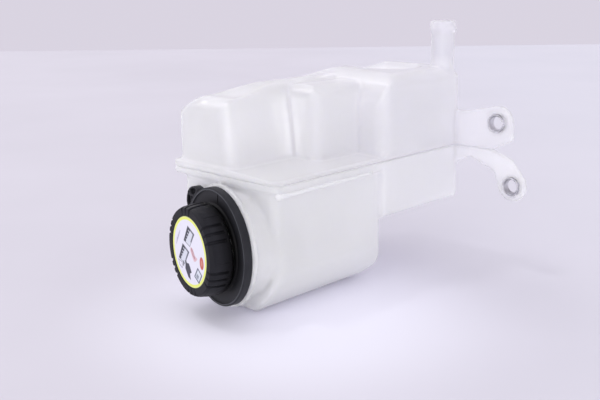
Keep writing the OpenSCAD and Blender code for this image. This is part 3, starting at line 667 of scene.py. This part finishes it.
# ---------------------------------------------------------------- stage and light
def stage_surface(name, corners, material):
    """Flat stage piece through four corners."""
    mesh = bpy.data.meshes.new(name)
    mesh.from_pydata(corners, [], [(0, 1, 2, 3)])
    mesh.materials.append(material)
    piece = bpy.data.objects.new(name, mesh)
    bpy.context.scene.collection.objects.link(piece)


def stage_paint(name, seen, bounced):
    """Matt pale stage paint with a slight cloudiness, a painted pool of light round the part that lifts its shadow,
    and painted light falloff that makes it paler and bluer toward the right. The camera, and what shiny and clear
    surfaces show of it, get the first tone; the light that it throws back has the second."""
    mat, nodes, links, shader = new_material(name)
    coord = nodes.new("ShaderNodeTexCoord").outputs["Object"]
    cloud = noise_of(nodes, links, coord, 3.0, 3.0)
    # Painted light: a soft pool round the part, about 1.5 times paler at its middle.
    spot = nodes.new("ShaderNodeVectorMath")
    spot.operation = "DISTANCE"
    spot.inputs[1].default_value = (-0.03, -0.04, 0.0)
    links.new(coord, spot.inputs[0])
    near = ranged(nodes, links, spot.outputs["Value"], 0.0, 0.19, 1.0, 0.0)
    near.node.interpolation_type = "SMOOTHERSTEP"
    # Painted light falloff: paler and bluer toward the right.
    across = nodes.new("ShaderNodeVectorMath")
    across.operation = "DOT_PRODUCT"
    across.inputs[1].default_value = (0.70, -0.714, 0.0)
    links.new(coord, across.inputs[0])
    side_tone = blended(nodes, links, ranged(nodes, links, across.outputs["Value"], -0.05, 0.45, 0.0, 1.0),
                        seen, tuple(c * k for c, k in zip(seen, (1.04, 1.065, 1.075))))
    far_tone = blended(nodes, links, ranged(nodes, links, cloud.outputs["Fac"], 0.3, 0.7, 0.0, 0.25),
                       side_tone, (0.72, 0.69, 0.77))
    tint = blended(nodes, links, near, far_tone, tuple(c * k for c, k in zip(seen, (1.50, 1.54, 1.54))))
    links.new(tint, shader.inputs["Base Color"])
    shader.inputs["Roughness"].default_value = 0.7
    shader.inputs["Specular IOR Level"].default_value = 0.1
    bounce = nodes.new("ShaderNodeBsdfDiffuse")
    bounce.inputs["Color"].default_value = (*bounced, 1.0)
    shader_mix(nodes, links, reached_directly(nodes, links), bounce.outputs["BSDF"], shader.outputs["BSDF"],
               "Material Output")
    return mat


def hang(name, data, back, place=(0.0, 0.0, 0.0)):
    """Light at a place that shines away from its back direction."""
    back = np.array(back) / np.linalg.norm(back)
    side = np.cross((0.0, 0.0, 1.0), back)
    side /= np.linalg.norm(side)
    stance = Matrix(np.column_stack([side, np.cross(back, side), back]).tolist()).to_4x4()
    stance.translation = place
    piece = bpy.data.objects.new(name, data)
    piece.matrix_world = stance
    bpy.context.scene.collection.objects.link(piece)


def lamp(name, place, aim, size, power):
    """Soft square lamp aimed at a point."""
    data = bpy.data.lights.new(name, "AREA")
    data.size = size
    data.energy = power
    hang(name, data, np.array(place) - np.array(aim), place)


def high_sun(name, toward, strength, spread):
    """Wide soft distant light that comes from a direction."""
    data = bpy.data.lights.new(name, "SUN")
    data.energy = strength
    data.angle = spread
    hang(name, data, toward)


def studio_world():
    """Even pale light all round; the camera, and what shiny and clear surfaces show of it, get the backdrop's
    tone."""
    world = bpy.data.worlds.new("studio")
    world.use_nodes = True
    nodes, links = world.node_tree.nodes, world.node_tree.links
    light = nodes["Background"]
    light.inputs["Color"].default_value = (0.97, 0.965, 1.0, 1.0)
    light.inputs["Strength"].default_value = 1.0
    backdrop = nodes.new("ShaderNodeBackground")
    backdrop.inputs["Color"].default_value = (0.700, 0.660, 0.755, 1.0)
    shader_mix(nodes, links, reached_directly(nodes, links), light.outputs["Background"],
               backdrop.outputs["Background"], "World Output")
    bpy.context.scene.world = world


photo_camera()
stage_surface("floor", [(-1.57, 4.35, 0), (-5.0, -3.0, 0), (3.0, -5.0, 0), (4.35, -1.45, 0)],
              stage_paint("floor paint", (0.600, 0.573, 0.640), (0.93, 0.93, 0.96)))
studio_world()
high_sun("back", (0.15, 1.35, 1.0), 0.55, math.radians(50))
high_sun("overhead", (-0.235, 0.292, 0.908), 0.22, math.radians(9))
high_sun("room", (-0.9, -0.6, 0.4), 0.6, math.radians(70))
lamp("front", (-1.1, -1.1, 0.13), (0.0, 0.0, 0.08), 0.2, 1.5)
bpy.context.scene.view_settings.view_transform = "Standard"
